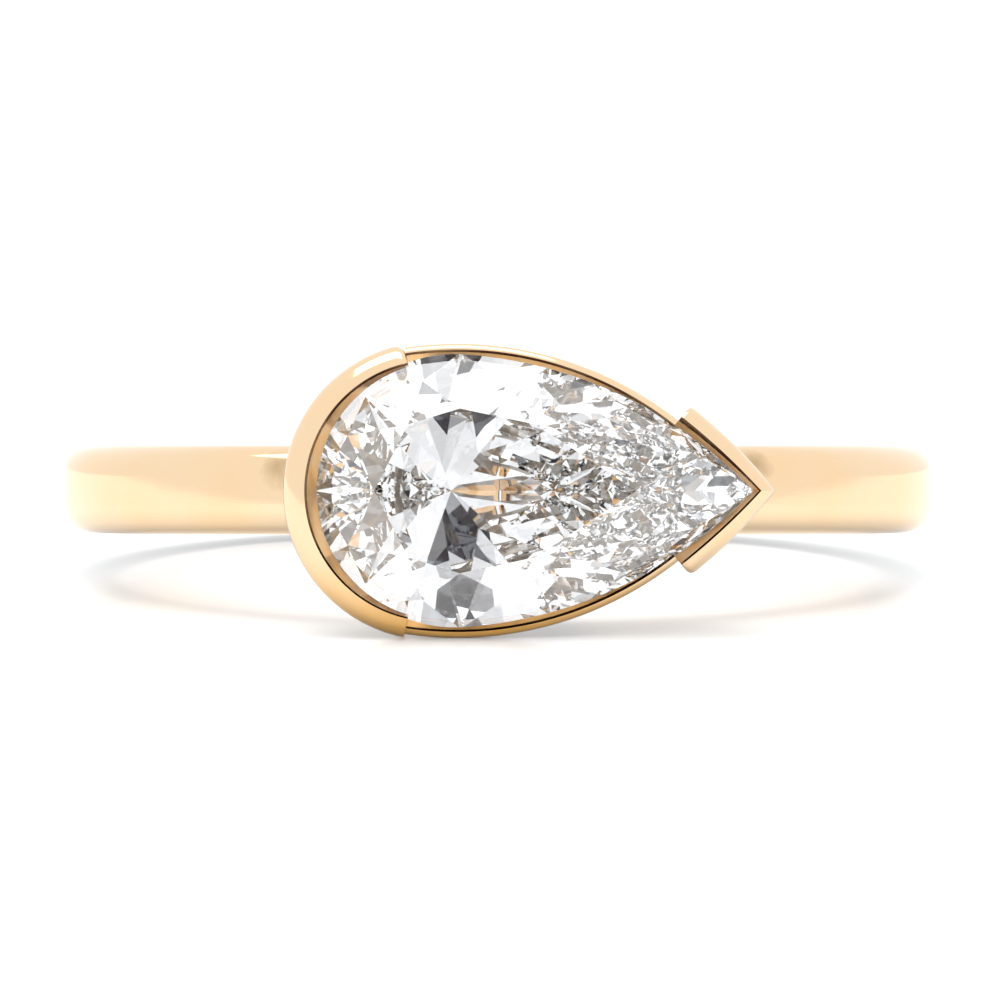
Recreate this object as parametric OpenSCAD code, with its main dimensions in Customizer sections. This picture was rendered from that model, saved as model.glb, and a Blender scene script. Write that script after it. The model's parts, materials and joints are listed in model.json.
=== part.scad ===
// East-west ring: a pear-cut stone laid across the finger in a half bezel on a plain band.
// The ring lies on its side as it rests on a table: the setting's lower side and the back of
// the band touch it. Origin at the middle of the finger hole. The stone faces -Y, slightly
// upwards, and its point is towards +X.

/* [Band] */
// Inside diameter of the finger hole
finger_d = 16.9; // [15.5:0.1:19]
// Width of the band along the finger
band_w = 2; // [1.8:0.1:2.4]
// Thickness of the band
band_t = 1.55; // [1.4:0.05:1.8]
// Rounding of the band's two outer edges
band_edge_r = 0.7; // [0.4:0.05:0.8]

/* [Stone] */
// Length of the pear outline, from its round end to its point
stone_l = 9.7; // [9.4:0.05:10]
// Width of the pear outline
stone_w = 6.1; // [6:0.05:6.2]
// Height of the crown, from the girdle's upper corners to the table
crown_h = 0.82; // [0.72:0.01:0.92]
// Thickness of the girdle at its corners
girdle_t = 0.26; // [0.24:0.01:0.3]
// Depth of the pavilion, from the girdle's lower corners to the culet
pavilion_d = 2.44; // [2.3:0.01:2.6]
// Table size as a share of the outline
table_share = 0.595; // [0.55:0.005:0.62]

/* [Setting] */
// Height of the girdle's middle above the finger hole
girdle_rise = 3.05; // [3:0.05:3.4]
// How far the pear's round centre lies off the middle of the band
head_x = -0.94; // [-1.1:0.02:-0.8]
// Height of the round-end wall's crest above the girdle's middle
round_crest_h = 0.62; // [0.5:0.02:0.7]
// Height of the point wall's crest above the girdle's middle
point_crest_h = 0.52; // [0.45:0.01:0.6]
// Width of the round-end wall's sloping rim
round_rim_w = 0.46; // [0.4:0.02:0.5]
// Width of the point wall's sloping rim
point_rim_w = 0.32; // [0.26:0.02:0.36]

/* [Hidden] */
$fn = 96;

gold = [0.91, 0.71, 0.40];
clear_white = [0.88, 0.92, 0.97];
far = 30; // larger than any part of the ring

finger_r = finger_d / 2;
band_r = finger_r + band_t;
girdle_r = finger_r + girdle_rise;

// Pear outline: an arc round the origin, and on each side a flatter arc that runs to the point
shoulder_a = 4; // how far the round arc runs past the widest place, in degrees
round_r = stone_w / 2;
tip_x = stone_l - round_r;
side_off = (tip_x * tip_x - round_r * round_r) / (2 * (round_r - tip_x * sin(shoulder_a)));
side_r = round_r + side_off;
side_c = [-side_off * sin(shoulder_a), -side_off * cos(shoulder_a)];
side_from_a = atan2(-side_c[1], tip_x - side_c[0]);
side_to_a = 90 - shoulder_a;
side_len = side_r * (side_to_a - side_from_a) * PI / 180;
half_len = side_len + round_r * (90 + shoulder_a) * PI / 180;

// Stone facets
girdle_top = girdle_t / 2;
table_h = girdle_top + crown_h;
culet_h = -girdle_top - pavilion_d;
table_c = [0.1, 0];       // the outline shrinks towards this place to give the table
culet = [-0.08, 0, culet_h];
half_steps = 60;          // flat pieces of the girdle along each half of the outline
// Middles of the main facets in girdle steps from the point, where the pavilion has an edge
crown_main_at = all_round([0, 22, 36, 46, 60]);
pavilion_main_at = all_round([16, 36, 48, 60]);
star_share = 0.46;        // how far down the crown the star facets reach
lower_share = 0.82;       // how far down the pavilion the lower girdle facets reach
point_lower_share = 0.72; // the same for those in the three gaps nearest the point

// Setting walls, each swept round the centre of its own arc
stone_gap = 0.03;         // between the stone and the metal
arc_step = 0.005;         // the seat's side arcs are cut this much wider than its round arc
wall_top = 0.1;           // height of the walls' widest line
wall_lean = [8, 44];      // the wall's lean at its widest line and at the finger hole
wall_bow_r = (wall_top + girdle_rise) / (sin(wall_lean[1]) - sin(wall_lean[0]));
wall_foot = -3.95;        // below the finger hole's surface
wall_steps = 5;
rim_slope = [14, 78];     // the rims' slope at the crest and at the outer wall
rim_steps = 5;
round_wall_c = [-0.49, 0];
round_wall_r = 3.3;
round_wall_end_a = 101;   // the round-end wall stops at this angle above and below
round_bevel_w = 0.13;     // width of the bevel inside the crest, down to the girdle
point_wall_c = [-1.66, -6.89];
point_wall_r = 11.13;
point_wall_end_a = 52;
point_wall_from_a = 33;
point_bevel_w = 0.18;
rail_c = [0.05, -4.65];
rail_r = 7.9;
rail_a = [46, 102];       // swept into both walls, and cut off level with their ends
rail_lap = 0.06;          // how far the rail runs into each wall
rail_crest_h = 0.3;
rail_crest_w = 0.07;
rail_rim_w = 0.12;
rail_bevel_w = 0.16;
// Space for the stone and for light under it: offset from the girdle outline, then height
seat = [[-2.7, wall_foot], [-2.3, -3.05], [-1.4, -2], [-0.7, -0.98], [stone_gap, -0.18],
        [stone_gap, girdle_top + stone_gap], [-1.4, 1.25]];

// Resting pose: the table touches the setting's widest line and the band's rounded back edge
rest_head_z = rail_r + rail_c[1];
rest_a = band_edge_r;
rest_up = rest_head_z - (band_w / 2 - band_edge_r);
rest_back = girdle_r + wall_top + band_r - band_edge_r;
rest_tilt = acos(rest_a / norm([rest_up, rest_back])) - atan2(rest_back, rest_up);

// Points of an arc whose tangent turns from angle a0 to a1, going out by w and down from height h
function rounded_rim(r, h, w, a0, a1, n) =
    let (bow = w / (sin(a1) - sin(a0)))
    [for (i = [0:n])
        let (a = a0 + (a1 - a0) * i / n)
        [r + bow * (sin(a) - sin(a0)), h - bow * (cos(a0) - cos(a))]];

// Points of a wall that leans in more and more from its widest line down to its foot
function bowed_wall(r) =
    [for (i = [0:wall_steps])
        let (h = wall_top + (wall_foot - wall_top) * i / wall_steps,
             a = asin(sin(wall_lean[0]) + (wall_top - h) / wall_bow_r))
        [r - wall_bow_r * (cos(wall_lean[0]) - cos(a)), h]];

// Outline of the pear at length s from its point, on its upper half
function outline_at(s) =
    s < side_len
        ? let (a = side_from_a + s / side_r * 180 / PI) side_c + side_r * [cos(a), sin(a)]
        : let (a = side_to_a + (s - side_len) / round_r * 180 / PI) round_r * [cos(a), sin(a)];

// Girdle steps all round the outline, from those on its upper half
function all_round(upper) =
    concat(upper, [for (i = [len(upper) - 1:-1:0])
        if (upper[i] > 0 && upper[i] < half_steps) 2 * half_steps - upper[i]]);
function after(steps, i) = i < len(steps) - 1 ? steps[i + 1] : steps[0] + 2 * half_steps;

// The outline at girdle step k, counted from the point over the upper half and back under it
function girdle_at(k) =
    let (u = (k + 2 * half_steps) % (2 * half_steps),
         p = outline_at(half_len * min(u, 2 * half_steps - u) / half_steps))
    [p[0], u <= half_steps ? p[1] : -p[1]];
function tangent_at(k) =
    let (d = girdle_at(k + 0.01) - girdle_at(k - 0.01)) [d[0], d[1], 0] / norm(d);

function lifted(p, h) = [p[0], p[1], h];
// Plane through p with directions u and v, as a normal and its distance
function plane(p, u, v) = let (n = cross(u, v)) [n, n * p];
function height_on(pl, p) = (pl[1] - pl[0][0] * p[0] - pl[0][1] * p[1]) / pl[0][2];
// The place at height h where planes a and b meet
function meet_at(a, b, h) =
    let (p = a[0], q = b[0], d = p[0] * q[1] - p[1] * q[0],
         u = a[1] - p[2] * h, v = b[1] - q[2] * h)
    [(u * q[1] - v * p[1]) / d, (p[0] * v - q[0] * u) / d, h];

table_pts = [for (k = crown_main_at)
    lifted(table_c + table_share * (girdle_at(k) - table_c), table_h)];
crown_mains = [for (i = [0:len(crown_main_at) - 1])
    let (k = crown_main_at[i])
    plane(table_pts[i], tangent_at(k), lifted(girdle_at(k), girdle_top) - table_pts[i])];
pavilion_mains = [for (k = pavilion_main_at)
    plane(culet, tangent_at(k), lifted(girdle_at(k), -girdle_top) - culet)];

// The places where neighbouring main facets part, at the height given for each gap
function parting_pts(mains, heights) =
    [for (i = [0:len(mains) - 1]) meet_at(mains[i], mains[(i + 1) % len(mains)], heights[i])];
star_pts = parting_pts(crown_mains, [for (k = crown_main_at) table_h - star_share * crown_h]);
last_gap = len(pavilion_main_at) - 1; // lies across the point
lower_pts = parting_pts(pavilion_mains, [for (i = [0:last_gap])
    let (by_point = i == 0 || i >= last_gap - 1)
    -girdle_top - (by_point ? point_lower_share : lower_share) * pavilion_d]);

// An edge of the girdle: level at the corners, arched where each flat facet cuts the curved side
function girdle_edge(main_at, inner_pts, h) =
    [for (i = [0:len(main_at) - 1])
        let (a = main_at[i], c = after(main_at, i), b = (a + c) / 2)
        for (ends = [[a, b], [b, c]])
            let (p = lifted(girdle_at(ends[0]), h), q = lifted(girdle_at(ends[1]), h),
                 facet = plane(inner_pts[i], p - inner_pts[i], q - inner_pts[i]))
            for (k = [ends[0]:ends[1] - 1])
                let (g = girdle_at(k)) lifted(g, k == ends[0] ? h : height_on(facet, g))];

// A pear-shaped solid whose side follows the points of offset and height
module pear_solid(side) {
    low = side[0][1];
    high = side[len(side) - 1][1];
    rotate([0, 0, side_to_a])
        rotate_extrude(angle = 180 + 2 * shoulder_a)
            polygon(concat([[0, low]], [for (p = side) [round_r + p[0], p[1]]], [[0, high]]));
    core_r = side_off - 1;
    for (m = [0, 1])
        mirror([0, m, 0])
            intersection() {
                translate(side_c)
                    rotate_extrude(angle = 180)
                        polygon(concat([[core_r, low]],
                                       [for (p = side) [side_r + arc_step + p[0], p[1]]],
                                       [[core_r, high]]));
                rotate_extrude(angle = side_to_a)
                    translate([0, -far / 2]) square(far);
            }
}

// One wall of the setting: a profile of radius and height swept round an arc's centre
module swept_wall(centre, from_a, to_a, profile) {
    translate(centre)
        rotate([0, 0, from_a])
            rotate_extrude(angle = to_a - from_a)
                polygon(profile);
}

module round_end_wall() {
    crest_r = round_wall_r - round_rim_w;
    swept_wall(round_wall_c, round_wall_end_a, 360 - round_wall_end_a,
        concat([[crest_r - round_bevel_w, girdle_top]],
               rounded_rim(crest_r, round_crest_h, round_rim_w, rim_slope[0], rim_slope[1], rim_steps),
               bowed_wall(round_wall_r),
               [[0, wall_foot], [0, girdle_top]]));
}

module point_wall() {
    crest_r = point_wall_r - point_rim_w;
    inner_r = side_r - 3;
    for (m = [0, 1])
        mirror([0, m, 0])
            intersection() {
                swept_wall(point_wall_c, point_wall_from_a, point_wall_end_a,
                    concat([[crest_r - point_bevel_w, girdle_top]],
                           rounded_rim(crest_r, point_crest_h, point_rim_w,
                                       rim_slope[0], rim_slope[1], rim_steps),
                           bowed_wall(point_wall_r),
                           [[inner_r, wall_foot], [inner_r, girdle_top]]));
                translate([0, 0, -far / 2]) cube(far);
            }
}

// The rail fills the plan between the end faces of the two walls
module gallery_rail() {
    crest_r = rail_r - rail_rim_w;
    inner_r = rail_r - 3.4;
    near_point = [point_wall_c[0] - point_wall_c[1] / tan(point_wall_end_a), 0];
    lap = [rail_lap, 0];
    plan = [round_wall_c - lap, near_point + lap,
            near_point + lap + far * [cos(point_wall_end_a), sin(point_wall_end_a)],
            round_wall_c - lap + far * [cos(round_wall_end_a), sin(round_wall_end_a)]];
    for (m = [0, 1])
        mirror([0, m, 0])
            intersection() {
                swept_wall(rail_c, rail_a[0], rail_a[1],
                    concat([[crest_r - rail_crest_w - rail_bevel_w, girdle_top],
                            [crest_r - rail_crest_w, rail_crest_h]],
                           rounded_rim(crest_r, rail_crest_h, rail_rim_w, 5, rim_slope[1], rim_steps),
                           bowed_wall(rail_r),
                           [[inner_r, wall_foot], [inner_r, girdle_top]]));
                translate([0, 0, -far / 2])
                    linear_extrude(far) polygon(plan);
            }
}

// Stands a part drawn on the girdle plane up on the band, with its table towards -Y
module on_the_band() {
    translate([head_x, -girdle_r, 0]) rotate([90, 0, 0]) children();
}

module band() {
    mid = band_w / 2 - band_edge_r;
    corner = [for (i = [0:rim_steps]) let (a = 90 * i / rim_steps)
        [band_r - band_edge_r + band_edge_r * cos(a), mid + band_edge_r * sin(a)]];
    back = [for (i = [rim_steps:-1:0]) [corner[i][0], -corner[i][1]]];
    rotate_extrude()
        polygon(concat([[finger_r - 0.3, -band_w / 2]], back, corner,
                       [[finger_r - 0.3, band_w / 2]]));
}

module band_and_setting() {
    color(gold)
        rotate([-rest_tilt, 0, 0])
            difference() {
                union() {
                    band();
                    on_the_band() {
                        round_end_wall();
                        point_wall();
                        gallery_rail();
                    }
                }
                on_the_band() pear_solid(seat);
                cylinder(r = finger_r, h = far, center = true);
            }
}

module pear_stone() {
    corners = concat(table_pts, star_pts, girdle_edge(crown_main_at, star_pts, girdle_top),
                     girdle_edge(pavilion_main_at, lower_pts, -girdle_top), lower_pts, [culet]);
    color(clear_white)
        rotate([-rest_tilt, 0, 0])
            on_the_band()
                hull() polyhedron(corners, [[for (i = [0:len(corners) - 1]) i]]);
}

band_and_setting();
pear_stone();
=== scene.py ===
import json
import math

import bmesh
import bpy
import numpy as np
from mathutils import Matrix, Vector


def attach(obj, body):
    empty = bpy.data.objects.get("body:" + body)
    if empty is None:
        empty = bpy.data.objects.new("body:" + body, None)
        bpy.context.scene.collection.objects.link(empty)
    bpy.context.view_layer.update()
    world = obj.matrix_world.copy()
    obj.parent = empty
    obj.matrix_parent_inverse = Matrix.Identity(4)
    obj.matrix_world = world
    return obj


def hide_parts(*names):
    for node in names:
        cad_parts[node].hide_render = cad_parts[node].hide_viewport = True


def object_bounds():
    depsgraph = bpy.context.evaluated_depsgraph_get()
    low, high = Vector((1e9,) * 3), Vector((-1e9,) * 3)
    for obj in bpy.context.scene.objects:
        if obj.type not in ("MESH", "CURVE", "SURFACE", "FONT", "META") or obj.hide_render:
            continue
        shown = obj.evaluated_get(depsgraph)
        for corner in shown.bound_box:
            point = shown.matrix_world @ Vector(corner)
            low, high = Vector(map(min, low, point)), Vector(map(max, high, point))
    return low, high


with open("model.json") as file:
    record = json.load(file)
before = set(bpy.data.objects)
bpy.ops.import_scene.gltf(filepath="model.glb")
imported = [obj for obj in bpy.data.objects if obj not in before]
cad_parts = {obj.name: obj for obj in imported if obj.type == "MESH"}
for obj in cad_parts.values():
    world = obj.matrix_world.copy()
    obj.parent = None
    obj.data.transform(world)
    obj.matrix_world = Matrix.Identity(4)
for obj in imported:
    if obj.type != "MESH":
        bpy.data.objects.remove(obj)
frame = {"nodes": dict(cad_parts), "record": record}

bl_info = {
    "name": "East-West Ring",
    "version": (1, 0, 0),
    "blender": (4, 5, 0),
    "location": "3D View > Sidebar > Ring",
    "description": "A pear-cut stone laid across the finger in a gold half bezel, with its studio",
    "category": "Object",
}

MM = 0.001
CAD_BOX = [list(corner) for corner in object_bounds()]
FLOOR_Z = CAD_BOX[0][2]
FINGER_HOLE = frame["record"]["mounts"][0]
GOLD_NODE, STONE_NODE = "band_and_setting", "pear_stone"
BODY = "root"


# Sizes and colours

def length(name, text, millimetres):
    return bpy.props.FloatProperty(
        name=name, description=text, default=millimetres * MM, unit="LENGTH", precision=5)


def turn(name, text, degrees):
    return bpy.props.FloatProperty(
        name=name, description=text, default=math.radians(degrees), subtype="ANGLE")


def colour(name, text, rgb):
    return bpy.props.FloatVectorProperty(
        name=name, description=text, default=rgb, size=3, min=0, max=1, subtype="COLOR")


def share(name, text, value):
    return bpy.props.FloatProperty(name=name, description=text, default=value, min=0, max=4)


class RingBandSizes(bpy.types.PropertyGroup):
    """Sizes of the plain band."""
    finger_r: length("Finger radius", "Radius of the finger hole", FINGER_HOLE["dims"]["r_mm"])
    thickness: length("Thickness", "Thickness of the band", 1.55)
    width: length("Width", "Width of the band along the finger", 2.0)
    outer_edge: length("Outer edge", "Rounding of the outer edges", 0.7)
    inner_edge: length("Inner edge", "Rounding of the edges against the finger", 0.16)


class RingSettingSizes(bpy.types.PropertyGroup):
    """Sizes of the stone's outline and of the walls round it."""
    stone_l: length("Stone length", "Length of the pear outline", 9.7)
    stone_w: length("Stone width", "Width of the pear outline", 6.1)
    girdle_rise: length("Girdle rise", "Height of the girdle's middle above the finger hole", 3.05)
    head_x: length("Head offset", "The round end's centre, along the band", -0.94)
    round_crest_h: length("Round crest", "Height of the round wall's crest above the girdle", 0.62)
    point_crest_h: length("Point crest", "Height of the point wall's crest above the girdle", 0.52)
    rail_crest_h: length("Rail crest", "Height of the rails' crest above the girdle", 0.3)
    # The darkened edge along the crests is a painted dark reflection.
    crest_edge: length("Crest edge", "Width of the rounded, darkened edge along the crests", 0.055)


class RingLooks(bpy.types.PropertyGroup):
    """Colours of the ring."""
    gold: colour("Gold", "Colour of the polished gold", (0.765, 0.575, 0.375))
    # The deep gold is a painted reflection on the lower parts, mixed with random patches.
    gold_low_reflection: colour("Deep gold", "Colour of the gold towards the table", (0.82, 0.44, 0.115))
    # The bevels' orange is a painted reflection of the gold round them, varied at random.
    gold_bevel_reflection: colour(
        "Bevel gold", "Colour of the bright-cut bevels round the stone", (0.84, 0.48, 0.19))
    # The crest line's colour is a painted dark reflection along the crests.
    seam: colour("Crest line", "Colour of the polishing line along the crests", (0.055, 0.02, 0.011))
    # This colour is painted shade and reflection in the crease where the setting meets the band.
    joint_shade: colour(
        "Stain", "Colour of the traces left where the setting is joined to the band", (0.30, 0.20, 0.09))
    cup: colour("Cup", "Colour of the matt metal inside the setting", (1.0, 0.89, 0.76))
    stone: colour("Stone", "Tint of the clear stone", (0.975, 0.985, 1.0))
    stone_cool: colour("Stone, cooler", "Tint of the stone's slightly cooler parts", (0.955, 0.97, 0.99))


class RingStudio(bpy.types.PropertyGroup):
    """The floor, the light and the camera."""
    floor: colour("Floor", "Colour of the pale floor", (0.93, 0.925, 0.915))
    camera_distance: length("Camera distance", "From the camera to the finger hole's centre", 350)
    field: length("Field", "Width of the view at the finger hole", 22.83)
    above_axis: turn("Above the axis", "How far the camera stands above the stone's axis", 0.22)
    surround: share("Surround", "Brightness of the white surround", 1.28)
    surround_tint: colour("Surround tint", "Colour of the white surround", (0.98, 0.99, 1.0))
    dark_tone: colour("Dark tone", "Colour of the dark field and the lens", (0.022, 0.024, 0.036))
    dark_up: turn("Dark field height", "Height of the dark field's centre above the camera", 10.9)
    dark_side: turn("Dark field side", "How far right of the camera the dark field's centre is", -2.4)
    dark_wide: turn("Dark field width", "Half width of the dark field", 24)
    dark_high: turn("Dark field reach", "Half height of the dark field", 20.2)
    lens_dark: turn("Lens shadow", "Radius of the dark spot round the lens", 6.2)
    floor_half: length("Floor half width", "Half the width of the square floor", 800)
    softbox_wide: length("Softbox width", "Width of the soft light above", 240)
    softbox_deep: length("Softbox depth", "Depth of the soft light above", 160)
    softbox_watts: share("Softbox power", "Power of the soft light above, in watts", 0.3)


# Where painted shade and reflection darken the crease between the setting and the band, in the upper
# corners beside it, in metres
JOINT_SHADE_SPOTS = ((-0.00495, -0.0087, 0.00147), (0.0058, -0.0081, 0.00150))
# The gold takes a painted reflection, deeper orange as gold mirrored in gold and in the shaded floor,
# between these heights, in metres
LOW_REFLECTION_FROM, LOW_REFLECTION_TO = -0.0002, -0.0018
# How soft the edges of the dark field and of the lens are, as shares of their sizes
FIELD_SOFT, LENS_SOFT = 0.3, 0.25
# The soft light's middle, in metres
SOFTBOX_PLACE = (-0.05, 0.02, 0.25)
# How far right of the finger hole's centre and below it the view's middle lies, in millimetres
VIEW_RIGHT, VIEW_DOWN = 0.057, 0.25


# Node trees

def socket_of(value):
    return value.socket if isinstance(value, Value) else value


def math_pair(operation):
    """A method and its reflected form that add a Math node."""
    def forward(value, other):
        return value.math(operation, value, other)

    def reflected(value, other):
        return value.math(operation, other, value)
    return forward, reflected


class Value:
    """An output socket that can be added to, multiplied and so on like a number."""
    __add__, __radd__ = math_pair("ADD")
    __sub__, __rsub__ = math_pair("SUBTRACT")
    __mul__, __rmul__ = math_pair("MULTIPLY")
    __truediv__, __rtruediv__ = math_pair("DIVIDE")
    __gt__, __lt__ = math_pair("GREATER_THAN")

    def __init__(self, nodes, socket):
        self.nodes, self.socket = nodes, socket

    def math(self, operation, *values):
        numbered = dict(enumerate(values))
        return self.nodes.add("ShaderNodeMath", {"operation": operation}, numbered)["Value"]


class Outputs:
    """A node's outputs by name."""

    def __init__(self, nodes, node):
        self.nodes, self.node = nodes, node

    def __getitem__(self, name):
        return Value(self.nodes, self.node.outputs[name])


class Nodes:
    """Adds nodes to one tree."""

    def __init__(self, tree):
        self.tree = tree

    def add(self, kind, settings=None, inputs=None):
        node = self.tree.nodes.new(kind)
        for name, value in (settings or {}).items():
            setattr(node, name, value)
        for name, value in (inputs or {}).items():
            source = socket_of(value)
            if isinstance(source, bpy.types.NodeSocket):
                self.tree.links.new(source, node.inputs[name])
            else:
                node.inputs[name].default_value = source
        return Outputs(self, node)

    def noise(self, where, scale, detail=2.0, roughness=0.5):
        return self.add("ShaderNodeTexNoise", {}, {
            "Vector": where, "Scale": scale, "Detail": detail, "Roughness": roughness})["Fac"]

    def ranged(self, value, low, high, to_low=0.0, to_high=1.0):
        return self.add("ShaderNodeMapRange", {}, {
            "Value": value, "From Min": low, "From Max": high,
            "To Min": to_low, "To Max": to_high})["Result"]

    def mixed(self, fraction, first, second):
        """A colour between two; the Mix node's colour sockets are found by number."""
        def with_alpha(tone):
            return tone if isinstance(tone, Value) else (*tone, 1)
        made = self.add("ShaderNodeMix", {"data_type": "RGBA"}, {
            0: fraction, 6: with_alpha(first), 7: with_alpha(second)})
        return Value(self, made.node.outputs[2])

    def vector_math(self, operation, first, second):
        return self.add("ShaderNodeVectorMath", {"operation": operation}, {0: first, 1: second})["Value"]

    def surface(self, shader):
        self.add("ShaderNodeOutputMaterial", {}, {"Surface": shader})


def new_material(name):
    material = bpy.data.materials.new(name)
    material.use_nodes = True
    material.node_tree.nodes.clear()
    return material, Nodes(material.node_tree)


def object_place(nodes):
    return nodes.add("ShaderNodeTexCoord")["Object"]


def polished_gold(looks):
    """Buffed gold with fine wheel marks and painted light: a painted reflection that turns it deeper
    orange towards the table and orange on the bevels round the stone, a painted dark reflection along
    the crests and painted shade where the setting meets the band.

    The attribute named cut sets apart the bright-cut bevels, the crest lines and the matt inside of
    the cup.
    """
    material, nodes = new_material("polished_gold")
    place = object_place(nodes)
    cut = nodes.add("ShaderNodeAttribute", {"attribute_name": "cut"})["Fac"]
    bevel = nodes.ranged(cut, 0.5, 0.9)
    seam = nodes.ranged(cut, 1.5, 1.9)
    cup = nodes.ranged(cut, 2.5, 2.9)
    patches = nodes.noise(place, scale=420, detail=3)
    haze = nodes.noise(place, scale=1500, detail=4, roughness=0.6)
    mottle = nodes.noise(place, scale=2600, detail=4, roughness=0.65)
    along = nodes.add("ShaderNodeMapping", {}, {"Vector": place, "Scale": (900, 900, 16000)})["Vector"]
    marks = nodes.noise(along, scale=1.0, detail=3, roughness=0.6)
    ripples = nodes.noise(place, scale=700)
    height = nodes.add("ShaderNodeSeparateXYZ", {}, {"Vector": place})["Z"]
    # Painted reflection: deeper orange lower down, with some random patches
    low = nodes.ranged(height, LOW_REFLECTION_FROM, LOW_REFLECTION_TO)
    tone = nodes.mixed(
        low * 0.85 + nodes.ranged(patches, 0.4, 0.75) * 0.2, looks.gold, looks.gold_low_reflection)
    # Painted reflection: the bevels round the stone turn orange, in random mottled patches
    tone = nodes.mixed(bevel * nodes.ranged(mottle, 0.35, 0.65, 0.35, 1.0), tone, looks.gold_bevel_reflection)
    # Painted shade and reflection in the creases where the setting meets the band
    for spot in JOINT_SHADE_SPOTS:
        away = nodes.vector_math("DISTANCE", place, spot)
        joint_shade_mask = nodes.ranged(away + mottle * 0.0004, 0.00075, 0.0003)
        tone = nodes.mixed(joint_shade_mask * 0.6, tone, looks.joint_shade)
    # Painted dark reflection along the crests, stronger or weaker in random patches
    tone = nodes.mixed(seam * nodes.ranged(patches, 0.35, 0.55, 0.7, 1.0), tone, looks.seam)
    tone = nodes.mixed(cup, tone, looks.cup)
    rough = nodes.ranged(haze, 0.3, 0.75, 0.05, 0.13) + nodes.ranged(marks, 0.55, 0.8, 0.0, 0.05)
    rough = rough + bevel * 0.22 - seam * 0.2 + cup * 0.4
    relief = ripples * 0.7 + marks * 0.12 + bevel * mottle * 0.5
    bump = nodes.add("ShaderNodeBump", {}, {
        "Height": relief, "Strength": 0.06, "Distance": 0.00008})["Normal"]
    shader = nodes.add("ShaderNodeBsdfPrincipled", {}, {
        "Base Color": tone, "Metallic": 1.0, "Roughness": rough, "Normal": bump})["BSDF"]
    nodes.surface(shader)
    return material


def clear_stone(looks):
    """Clear cut stone with a trace of polishing haze on its facets."""
    material, nodes = new_material("clear_stone")
    place = object_place(nodes)
    haze = nodes.noise(place, scale=2600, detail=3)
    cloud = nodes.noise(place, scale=300)
    tint = nodes.mixed(nodes.ranged(cloud, 0.4, 0.7), looks.stone, looks.stone_cool)
    shader = nodes.add("ShaderNodeBsdfPrincipled", {}, {
        "Base Color": tint, "Metallic": 0.0, "Roughness": nodes.ranged(haze, 0.5, 0.8, 0.0, 0.02),
        "IOR": 2.417, "Transmission Weight": 1.0})["BSDF"]
    nodes.surface(shader)
    return material


def glossy_floor(studio):
    """Pale acrylic sheet with a faint mirror image and a slight glow."""
    material, nodes = new_material("pale_floor")
    place = object_place(nodes)
    shade = tuple(0.985 * c for c in studio.floor)
    cloud = nodes.noise(place, scale=30)
    haze = nodes.noise(place, scale=60, detail=3)
    shader = nodes.add("ShaderNodeBsdfPrincipled", {}, {
        "Base Color": nodes.mixed(cloud, studio.floor, shade),
        "Roughness": nodes.ranged(haze, 0.3, 0.7, 0.2, 0.24),
        "Specular IOR Level": 0.12, "Emission Color": (1, 1, 1, 1), "Emission Strength": 0.15})["BSDF"]
    nodes.surface(shader)
    return material


# Shape of the ring

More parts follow.
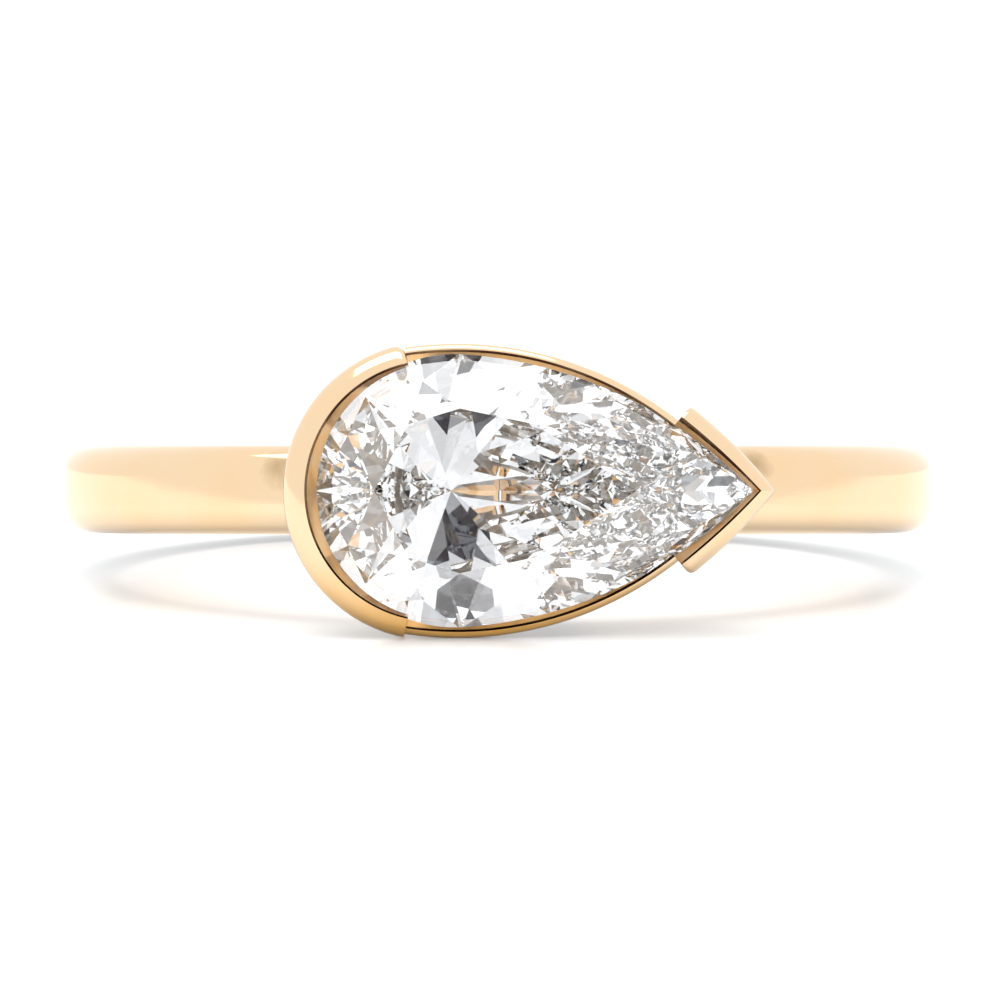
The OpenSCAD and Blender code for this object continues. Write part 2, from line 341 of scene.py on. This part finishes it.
class Ring:
    """The ring's sizes in millimetres, as in its drawing, and the outlines made from them.

    The stone's plan has its round end's centre at the origin, its point towards +x and its height, h,
    measured from the middle of the girdle.
    """

    lean = (8.0, 44.0)            # the setting wall's lean at its widest line and at the finger hole
    wall_top = 0.1                # height of the walls' widest line
    foot = -3.72                  # the setting's walls run down to here, past the finger hole's surface
    shoulder = 4.0                # the round end runs on this many degrees past the widest place
    rim_slope = (14.0, 78.0)      # the walls' rims slope this much at the crest and at the outer side
    rail_rim_slope = 5.0          # and the rails' rims this much at the crest
    crown_slope = 0.762           # the crown's rise for each millimetre inwards from the girdle
    crown_low = 0.16              # the metal's height over the seat's outline
    gap = 0.03                    # the seat's outline stands this far outside the stone's
    round_end = 101.0             # the round wall's end faces stand at this angle round its own centre
    point_end = 52.0              # likewise, the point wall's
    # Centre and radius of each zone's outer side at its widest line, of its crest and of its inner lip
    outer = {
        "point": ((-1.66, -6.89), 11.13),
        "rail": ((0.05, -4.65), 7.9),
        "round": ((-0.49, 0.0), 3.3),
    }
    crest = {
        "point": ((-4.63, -10.57), 15.52),
        "rail": ((0.05, -4.65), 7.74),
        "round": ((-0.43, 0.0), 2.86),
    }
    lip = {"round": ((-0.184, 0.0), 2.863)}
    # The other lips follow the stone's outline at this offset
    lip_in = {"point": -0.05, "rail": -0.036}

    def __init__(self, band, setting):
        def size(value):
            return value / MM
        self.finger_r = size(band.finger_r)
        self.band_t, self.band_w = size(band.thickness), size(band.width)
        self.outer_edge, self.inner_edge = size(band.outer_edge), size(band.inner_edge)
        self.band_r = self.finger_r + self.band_t
        self.girdle_r = self.finger_r + size(setting.girdle_rise)
        self.head_x = size(setting.head_x)
        self.crest_edge = size(setting.crest_edge)
        self.crest_h = {"round": size(setting.round_crest_h), "point": size(setting.point_crest_h),
                        "rail": size(setting.rail_crest_h)}
        self.round_r = size(setting.stone_w) / 2
        tip = size(setting.stone_l) - self.round_r
        sine = math.sin(math.radians(self.shoulder))
        off = (tip ** 2 - self.round_r ** 2) / (2 * (self.round_r - tip * sine))
        self.side_r = self.round_r + off
        self.side_c = (-off * sine, -off * math.cos(math.radians(self.shoulder)))
        self.bow = (self.wall_top + size(setting.girdle_rise)) / (
            math.sin(math.radians(self.lean[1])) - math.sin(math.radians(self.lean[0])))
        self.tilt = self.rest_tilt()

    def rest_tilt(self):
        """The lean at which the setting's widest line and the band's back edge both touch the table."""
        (_, centre_y), rail_r = self.outer["rail"]
        up = rail_r + centre_y - (self.band_w / 2 - self.outer_edge)
        back = self.girdle_r + self.wall_top + self.band_r - self.outer_edge
        return math.acos(self.outer_edge / math.hypot(up, back)) - math.atan2(back, up)

    def pull_in(self, h):
        """How far the setting's wall has drawn in at height h."""
        first = math.radians(self.lean[0])
        a = math.asin(math.sin(first) + (self.wall_top - h) / self.bow)
        return self.bow * (math.cos(first) - math.cos(a))

    def arc(self, centre, radius, steps=900):
        """Upper half of a circle's outline, from the middle line at its right to that at its left."""
        a0 = math.asin(-centre[1] / radius)
        a = np.linspace(a0, math.pi - a0, steps)
        return np.column_stack([centre[0] + radius * np.cos(a), centre[1] + radius * np.sin(a)])

    def pear(self, offset, steps=900):
        """Upper half of the stone's outline moved out by offset, from its point to its round end."""
        radius = self.side_r + offset
        a0, a1 = math.asin(-self.side_c[1] / radius), math.radians(90 - self.shoulder)
        a = np.linspace(a0, a1, steps)
        side = radius * np.column_stack([np.cos(a), np.sin(a)]) + self.side_c
        a = np.linspace(a1, math.pi, steps)[1:]
        return np.vstack([side, (self.round_r + offset) * np.column_stack([np.cos(a), np.sin(a)])])

    def ends(self):
        """The two planes where walls meet rails, each as a place and a direction in plan."""
        (cx, cy), _ = self.outer["point"]
        a, b = math.radians(self.point_end), math.radians(self.round_end)
        return (((cx - cy / math.tan(a), 0.0), (math.cos(a), math.sin(a))),
                (self.outer["round"][0], (math.cos(b), math.sin(b))))

    def span(self, outline, zone, spread):
        """An outline's stretch in one zone, at the shares of its length that spread gives."""
        along = np.concatenate([[0], np.cumsum(np.linalg.norm(np.diff(outline, axis=0), axis=1))])

        def crossing(end):
            (px, py), (dx, dy) = end
            side = (outline[:, 0] - px) * dy - (outline[:, 1] - py) * dx
            left = np.nonzero((side[:-1] > 0) & (side[1:] <= 0))[0]
            if len(left) == 0:
                return 0.0
            i = left[0]
            return along[i] + (along[i + 1] - along[i]) * side[i] / (side[i] - side[i + 1])

        first, second = map(crossing, self.ends())
        low, high = {"point": (0.0, first), "rail": (first, second), "round": (second, along[-1])}[zone]
        s = low + (high - low) * spread
        return np.column_stack([np.interp(s, along, outline[:, 0]), np.interp(s, along, outline[:, 1])])

    def crown_clear(self, plan):
        """Height just above the stone's crown at each place of a plan outline."""
        x, y = plan[:, 0], plan[:, 1]
        off_side = np.hypot(x - self.side_c[0], y - self.side_c[1]) - self.side_r
        off_end = np.hypot(x, y) - self.round_r
        off = np.where(np.degrees(np.arctan2(y, x)) < 90 - self.shoulder, off_side, off_end)
        return self.crown_low + (self.gap - off) * self.crown_slope

    def stand(self, points):
        """Places of the stone's own plan, with height as the third number, put in the resting ring."""
        x, y, h = points[:, 0], points[:, 1], points[:, 2]
        return self.rest(np.column_stack([x + self.head_x, -self.girdle_r - h, y]))

    def rest(self, points):
        """Places of the upright ring, in metres and leaned as the ring rests."""
        cosine, sine = math.cos(self.tilt), math.sin(self.tilt)
        x, y, z = points[:, 0], points[:, 1], points[:, 2]
        return MM * np.column_stack([x, y * cosine + z * sine, -y * sine + z * cosine])


# Finishes of the gold's faces, as the attribute named cut says them; the crest faces carry the painted
# dark reflection
PLAIN, BEVEL, PAINTED_CREST, CUP = 0.0, 1.0, 2.0, 3.0
# The seat's profile: offsets from the stone's outline, each with its height
SEAT = ((0.03, 0.16), (0.03, -0.18), (-0.3, -0.52), (-0.7, -0.98), (-1.4, -2.0), (-2.3, -3.05))
# Offsets of the well at the walls' foot, for the setting's skin and for the cut through the band
WELL_FOOT, WELL_CUT = -2.62, -2.7
# The cut starts this far below the foot and ends at this height
CUT_BELOW, CUT_TOP = 0.25, 0.1
# Where the cut's middle line stands along the stone, at its foot and at its top
CUT_MIDDLE = (0.2, 1.0)
ZONES = ("point", "rail", "round")
# Sections along each zone
ZONE_STEPS = {"point": 40, "rail": 64, "round": 80}
# Outlines up a wall and over its rim, and steps round the band and round its edges
WALL_STEPS, RIM_STEPS, CIRCLE_STEPS, FILLET_STEPS = 16, 9, 320, 12
# Sections crowd towards a wall's end by this power
CROWDING = 2.2
# How far each wall's end is rounded off, for the upper and the lower half
END_ROUND = {"point": (0.12, 0.16), "rail": (0, 0), "round": (0.27, 0.05)}
# Shares of that rounding by which the rim draws in and drops, and the most of the rim's width it takes
END_IN, END_DROP, END_MOST = 0.9, 0.35, 0.8
# The rounding fades out down the wall over this height
END_FADE = 2.0
# How far the painted dark reflection along the crest runs inwards at each zone's two ends, in crest
# edges, for the same halves
PAINTED_CREST_WIDE = {
    "point": ((0.9, 2.9), (0.9, 0.7)),
    "rail": ((1.2, 1.0), (1.3, 0.8)),
    "round": ((1.0, 1.0), (0.4, 1.0)),
}
# Points nearer to each other than this are merged, in metres
BAND_WELD, SETTING_WELD = 1e-8, 1e-7
# Faces that meet at more than this angle keep a sharp edge
SHARP_ANGLE = math.radians(28)
# How much the cutting bore's radius exceeds the finger hole's, and half its length
BORE_EXTRA, BORE_HALF = 0.02, 8.0


def spreads(zone):
    """Shares of a zone's length, closer together towards its walls' ends."""
    even = np.linspace(0, 1, ZONE_STEPS[zone])
    ease = 1 - (1 - even) ** CROWDING
    return {"point": ease, "rail": even, "round": 1 - ease[::-1]}[zone]


def end_ease(zone, outline, rounding):
    """1 along a wall, easing to 0 at its end face over the rounding's length."""
    if not rounding:
        return np.ones(len(outline))
    along = np.concatenate([[0], np.cumsum(np.linalg.norm(np.diff(outline, axis=0), axis=1))])
    if zone == "point":
        along = along[-1] - along
    near = np.clip(along / rounding, 0, 1)
    return np.sqrt(1 - (1 - near) ** 2)


def rim_shares(slopes):
    """How far out from the crest, and how far down, a rim between two slopes stands at each step."""
    a = np.radians(np.linspace(slopes[1], slopes[0], RIM_STEPS + 1))
    out = (np.sin(a) - math.sin(a[-1])) / (math.sin(a[0]) - math.sin(a[-1]))
    down = (np.cos(a[-1]) - np.cos(a)) / (math.cos(a[-1]) - math.cos(a[0]))
    return list(zip(out, down))[:-1]


def zone_levels(ring, zone, half, spread):
    """One zone's outlines from the wall's foot over the rim into the seat, with height and finish."""
    outer_at, outer_r = ring.outer[zone]
    levels = []
    rim = ring.span(ring.arc(outer_at, outer_r), zone, spread)
    crest = ring.span(ring.arc(*ring.crest[zone]), zone, spread)
    rounding = END_ROUND[zone][half]
    ending = 1 - end_ease(zone, rim, rounding)
    rim_width = np.linalg.norm(crest - rim, axis=1)
    inwards = (crest - rim) / rim_width[:, None]
    most_in = np.minimum(rounding * END_IN, END_MOST * rim_width)
    rim_in = inwards * (most_in * ending)[:, None]
    top = ring.crest_h[zone] - rounding * END_DROP * ending
    for h in np.linspace(ring.foot, ring.wall_top, WALL_STEPS):
        fade = max(0.0, 1 + (h - ring.wall_top) / END_FADE)
        plan = ring.span(ring.arc(outer_at, outer_r - ring.pull_in(h)), zone, spread)
        levels.append((plan + rim_in * fade, h, PLAIN))
    slopes = (ring.rail_rim_slope, ring.rim_slope[1]) if zone == "rail" else ring.rim_slope
    for out, down in rim_shares(slopes):
        plan = crest + (rim + rim_in - crest) * out
        levels.append((plan, top - (top - ring.wall_top) * down, PLAIN))
    edge = ring.crest_edge
    wide = edge * np.interp(spread, (0, 1), PAINTED_CREST_WIDE[zone][half])
    # Faces along the crest, which take the painted dark reflection
    levels.append((crest - inwards * 0.5 * edge, top, PAINTED_CREST))
    levels.append((crest + inwards * 0.1 * edge, top - 0.1 * edge, PAINTED_CREST))
    levels.append((crest + inwards * 0.5 * wide[:, None], top - 0.45 * wide, BEVEL))
    if zone in ring.lip:
        lip = ring.span(ring.arc(*ring.lip[zone]), zone, spread)
    else:
        lip = ring.span(ring.pear(ring.lip_in[zone]), zone, spread)
    levels.append((lip, ring.crown_clear(lip), CUP))
    for offset, h in SEAT:
        levels.append((ring.span(ring.pear(offset), zone, spread), h, CUP))
    levels.append((ring.span(ring.pear(WELL_FOOT), zone, spread), ring.foot, CUP))
    return levels


def setting_skin(ring):
    """Points and faces of the closed setting, whose two halves differ, and its levels' finishes."""
    loop = []
    for half, turned in ((0, False), (1, True)):
        sections = []
        for zone in ZONES:
            levels = zone_levels(ring, zone, half, spreads(zone))
            stack = [np.column_stack([plan, np.broadcast_to(h, len(plan))]) for plan, h, _ in levels]
            sections += list(np.stack(stack, axis=1))
            finishes = [finish for _, _, finish in levels]
        if turned:
            sections = [s * (1, -1, 1) for s in sections[-2:0:-1]]
        loop += sections
    return (*skin(loop), finishes)


def skin(loop):
    """Points and faces of a closed skin over a closed loop of closed sections."""
    count, total = len(loop[0]), len(loop)
    faces = [(i * count + k, (i + 1) % total * count + k,
              (i + 1) % total * count + (k + 1) % count, i * count + (k + 1) % count)
             for i in range(total) for k in range(count)]
    return np.vstack(loop), faces


def mesh_object(name, points, faces, material=None):
    mesh = bpy.data.meshes.new(name)
    mesh.from_pydata([tuple(p) for p in points], [], faces)
    mesh.update()
    made = bpy.data.objects.new(name, mesh)
    bpy.context.scene.collection.objects.link(made)
    if material:
        mesh.materials.append(material)
    return made


def welded(made, distance):
    """Merges doubled points, drops collapsed faces and turns the rest outwards."""
    bm = bmesh.new()
    bm.from_mesh(made.data)
    bmesh.ops.remove_doubles(bm, verts=bm.verts, dist=distance)
    bmesh.ops.dissolve_degenerate(bm, edges=bm.edges, dist=distance)
    bmesh.ops.recalc_face_normals(bm, faces=bm.faces)
    bm.to_mesh(made.data)
    bm.free()


def evaluated_mesh(made):
    bpy.context.view_layer.update()
    return bpy.data.meshes.new_from_object(made.evaluated_get(bpy.context.evaluated_depsgraph_get()))


def combine(target, tool, operation):
    """Joins target with tool, or cuts it, and leaves the result on target."""
    step = target.modifiers.new("step", "BOOLEAN")
    step.operation, step.solver, step.object = operation, "MANIFOLD", tool
    result = evaluated_mesh(target)
    target.modifiers.clear()
    target.data = result
    bpy.data.objects.remove(tool)
    if not result.polygons:
        raise RuntimeError("a join or cut left nothing of " + target.name)


def band_tree():
    """The band: a rounded profile swept round the finger hole."""
    tree = bpy.data.node_groups.new("band_sweep", "GeometryNodeTree")
    tree.interface.new_socket("Geometry", in_out="OUTPUT", socket_type="NodeSocketGeometry")
    sockets = {name: tree.interface.new_socket(name, in_out="INPUT", socket_type=kind).identifier
               for name, kind in (("Hole radius", "NodeSocketFloat"), ("Thickness", "NodeSocketFloat"),
                                  ("Width", "NodeSocketFloat"), ("Outer edge", "NodeSocketFloat"),
                                  ("Inner edge", "NodeSocketFloat"), ("Finish", "NodeSocketMaterial"))}
    nodes = Nodes(tree)
    given = nodes.add("NodeGroupInput")
    path = nodes.add("GeometryNodeCurvePrimitiveCircle", {}, {
        "Resolution": CIRCLE_STEPS,
        "Radius": given["Hole radius"] + given["Thickness"] * 0.5})["Curve"]
    section = nodes.add("GeometryNodeCurvePrimitiveQuadrilateral", {}, {
        "Width": given["Thickness"], "Height": given["Width"]})["Curve"]
    place = nodes.add("GeometryNodeInputPosition")["Position"]
    outside = nodes.add("ShaderNodeSeparateXYZ", {}, {"Vector": place})["X"] > 0.0
    edge = outside * given["Outer edge"] + (1.0 - outside) * given["Inner edge"]
    section = nodes.add("GeometryNodeFilletCurve", {"mode": "POLY"}, {
        "Curve": section, "Radius": edge, "Count": FILLET_STEPS})["Curve"]
    band = nodes.add("GeometryNodeCurveToMesh", {}, {"Curve": path, "Profile Curve": section})["Mesh"]
    band = nodes.add("GeometryNodeRealizeInstances", {}, {"Geometry": band})["Geometry"]
    band = nodes.add("GeometryNodeSetMaterial", {}, {
        "Geometry": band, "Material": given["Finish"]})["Geometry"]
    nodes.add("NodeGroupOutput", {}, {"Geometry": band})
    return tree, sockets


def grown(name, tree, sockets, values):
    """The plain mesh object that a geometry tree makes from these values."""
    made = mesh_object(name, [], [])
    step = made.modifiers.new("shape", "NODES")
    step.node_group = tree
    for key, value in values.items():
        step[sockets[key]] = value
    mesh = evaluated_mesh(made)
    made.modifiers.clear()
    made.data = mesh
    return made


def hollow_loop(ring):
    """Sections of the space for the stone, each running up its middle and down along the seat."""
    cut_foot = ring.foot - CUT_BELOW
    middle = [(CUT_MIDDLE[0], 0.0, cut_foot), (CUT_MIDDLE[1], 0.0, CUT_TOP)]
    side = [(ring.gap, CUT_TOP), *SEAT[1:], (WELL_CUT, cut_foot)]
    half = []
    for zone in ZONES:
        spread = spreads(zone)
        stack = [np.column_stack([ring.span(ring.pear(offset), zone, spread), np.full(len(spread), h)])
                 for offset, h in side]
        half += [np.vstack([middle, section]) for section in np.stack(stack, axis=1)]
    return half + [s * (1, -1, 1) for s in half[-2:0:-1]]


def finger_bore(ring):
    """The finger hole's cylinder, a hair wider than the band's own, for cutting the setting's foot."""
    count, radius = CIRCLE_STEPS, ring.finger_r + BORE_EXTRA
    a = np.linspace(0, 2 * math.pi, count, endpoint=False)
    rim = np.column_stack([radius * np.cos(a), radius * np.sin(a)])
    points = np.vstack([np.column_stack([rim, np.full(count, h)]) for h in (-BORE_HALF, BORE_HALF)])
    faces = [(i, (i + 1) % count, count + (i + 1) % count, count + i) for i in range(count)]
    faces += [tuple(range(count - 1, -1, -1)), tuple(range(count, 2 * count))]
    return mesh_object("bore", ring.rest(points), faces)


def make_gold(ring, finish):
    """The band, its setting, walls and rails, joined as one body."""
    tree, sockets = band_tree()
    gold = grown("gold_band_and_setting", tree, sockets, {
        "Hole radius": ring.finger_r * MM, "Thickness": ring.band_t * MM, "Width": ring.band_w * MM,
        "Outer edge": ring.outer_edge * MM, "Inner edge": ring.inner_edge * MM, "Finish": finish})
    gold.data.transform(Matrix.Rotation(-ring.tilt, 4, "X"))
    welded(gold, BAND_WELD)
    mark_finish(gold, [PLAIN])

    points, faces, finishes = setting_skin(ring)
    setting = mesh_object("setting", ring.stand(points), faces, finish)
    mark_finish(setting, finishes)
    welded(setting, SETTING_WELD)
    combine(setting, finger_bore(ring), "DIFFERENCE")

    points, faces = skin(hollow_loop(ring))
    hollow = mesh_object("hollow", ring.stand(points), faces)
    welded(hollow, SETTING_WELD)
    combine(gold, hollow, "DIFFERENCE")
    combine(gold, setting, "UNION")
    gold.data.polygons.foreach_set("use_smooth", [True] * len(gold.data.polygons))
    gold.data.set_sharp_from_angle(angle=SHARP_ANGLE)
    return gold


def mark_finish(made, finishes):
    """Gives each face the finish of its level; the levels repeat along the mesh's faces."""
    count = len(made.data.polygons)
    cut = made.data.attributes.new("cut", "FLOAT", "FACE")
    cut.data.foreach_set("value", np.resize(finishes, count))


# Operators

def ring_of(context):
    return Ring(context.scene.ring_band, context.scene.ring_setting)


class RING_OT_gold(bpy.types.Operator):
    """Makes the band, its setting, walls and rails as one piece of gold"""
    bl_idname = "ring.gold"
    bl_label = "Band and setting"

    def execute(self, context):
        gold = make_gold(ring_of(context), polished_gold(context.scene.ring_looks))
        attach(gold, BODY)
        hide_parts(GOLD_NODE)
        return {"FINISHED"}


class RING_OT_stone(bpy.types.Operator):
    """Gives the pear-cut stone its finish"""
    bl_idname = "ring.stone"
    bl_label = "Pear stone"

    def execute(self, context):
        finish = clear_stone(context.scene.ring_looks)
        for part in frame["nodes"][STONE_NODE].material_slots:
            part.material = finish
        return {"FINISHED"}


class RING_OT_studio(bpy.types.Operator):
    """Makes the pale floor, the soft light and the camera"""
    bl_idname = "ring.studio"
    bl_label = "Studio"

    def execute(self, context):
        scene, studio = context.scene, context.scene.ring_studio
        half = studio.floor_half
        corners = [(x * half, y * half, FLOOR_Z) for x, y in ((-1, -1), (1, -1), (1, 1), (-1, 1))]
        floor = mesh_object("floor", corners, [(0, 1, 2, 3)], glossy_floor(studio))
        elevation = ring_of(context).tilt + studio.above_axis
        back = Vector((0, -math.cos(elevation), math.sin(elevation)))
        up = Vector((0, math.sin(elevation), math.cos(elevation)))
        place_camera(scene, studio, elevation, back, up)
        scene.world = white_surround(studio, back, up)
        add_softbox(scene, studio)
        # A cut stone needs many bounces before its light comes out again
        scene.cycles.max_bounces = 36
        scene.cycles.glossy_bounces = 32
        scene.cycles.transmission_bounces = 32
        scene.cycles.caustics_reflective = False
        scene.view_settings.view_transform = "Standard"
        return {"FINISHED"}


def place_camera(scene, studio, elevation, back, up):
    """A long lens almost along the stone's axis, aimed just below the finger hole's centre."""
    camera = bpy.data.objects.new("camera", bpy.data.cameras.new("camera"))
    scene.collection.objects.link(camera)
    aim = Vector((VIEW_RIGHT, 0, 0)) * MM - up * VIEW_DOWN * MM
    camera.location = aim + back * studio.camera_distance
    camera.rotation_euler = (math.pi / 2 - elevation, 0, 0)
    camera.data.sensor_width = 36
    camera.data.lens = camera.data.sensor_width * studio.camera_distance / studio.field
    camera.data.clip_start, camera.data.clip_end = 0.01, 10
    scene.camera = camera


def white_surround(studio, back, up):
    """White on all sides, with a dark field above the camera and a dark spot round its lens."""
    world = bpy.data.worlds.new("surround")
    world.use_nodes = True
    world.node_tree.nodes.clear()
    nodes = Nodes(world.node_tree)
    way = nodes.add("ShaderNodeTexCoord")["Generated"]

    def along(axis):
        return nodes.vector_math("DOT_PRODUCT", way, tuple(axis))

    right, high, front = along((1, 0, 0)), along(up), along(back)
    side_angle = right.math("ARCTAN2", right, front)
    up_angle = right.math("ARCTAN2", high, front)

    def dark_oval(side, height, wide, tall, soft):
        x, y = (side_angle - side) / wide, (up_angle - height) / tall
        reach = right.math("SQRT", x * x + y * y)
        return nodes.ranged(reach, 1 - soft, 1 + soft, 1.0, 0.0) * (front > 0.0)

    field = dark_oval(
        studio.dark_side, studio.dark_up, studio.dark_wide, studio.dark_high, FIELD_SOFT)
    lens = dark_oval(0.0, 0.0, studio.lens_dark, studio.lens_dark, LENS_SOFT)
    dark = right.math("MAXIMUM", field, lens)
    white = tuple(studio.surround * c for c in studio.surround_tint)
    tone = nodes.mixed(dark, white, studio.dark_tone)
    shine = nodes.add("ShaderNodeBackground", {}, {"Color": tone})["Background"]
    nodes.add("ShaderNodeOutputWorld", {}, {"Surface": shine})
    return world


def add_softbox(scene, studio):
    """A soft light above, facing down."""
    lamp = bpy.data.lights.new("softbox", "AREA")
    lamp.shape = "RECTANGLE"
    lamp.size, lamp.size_y = studio.softbox_wide, studio.softbox_deep
    lamp.energy = studio.softbox_watts
    softbox = bpy.data.objects.new("softbox", lamp)
    softbox.location = SOFTBOX_PLACE
    scene.collection.objects.link(softbox)


class RING_PT_panel(bpy.types.Panel):
    """The ring's sizes, colours and pieces"""
    bl_idname = "RING_PT_panel"
    bl_label = "East-west ring"
    bl_space_type = "VIEW_3D"
    bl_region_type = "UI"
    bl_category = "Ring"

    def draw(self, context):
        for group in GROUPS:
            box = self.layout.box()
            for name in GROUPS[group].__annotations__:
                box.prop(getattr(context.scene, group), name)
        for step in STEPS:
            self.layout.operator(step.bl_idname)


STEPS = (RING_OT_studio, RING_OT_gold, RING_OT_stone)
GROUPS = {
    "ring_band": RingBandSizes,
    "ring_setting": RingSettingSizes,
    "ring_looks": RingLooks,
    "ring_studio": RingStudio,
}
CLASSES = (*GROUPS.values(), *STEPS, RING_PT_panel)


def register():
    for made in CLASSES:
        bpy.utils.register_class(made)
    for name, group in GROUPS.items():
        setattr(bpy.types.Scene, name, bpy.props.PointerProperty(type=group))


def unregister():
    for name in GROUPS:
        delattr(bpy.types.Scene, name)
    for made in reversed(CLASSES):
        bpy.utils.unregister_class(made)


def main():
    register()
    bpy.ops.ring.studio()
    bpy.ops.ring.gold()
    bpy.ops.ring.stone()


if __name__ == "__main__":
    main()
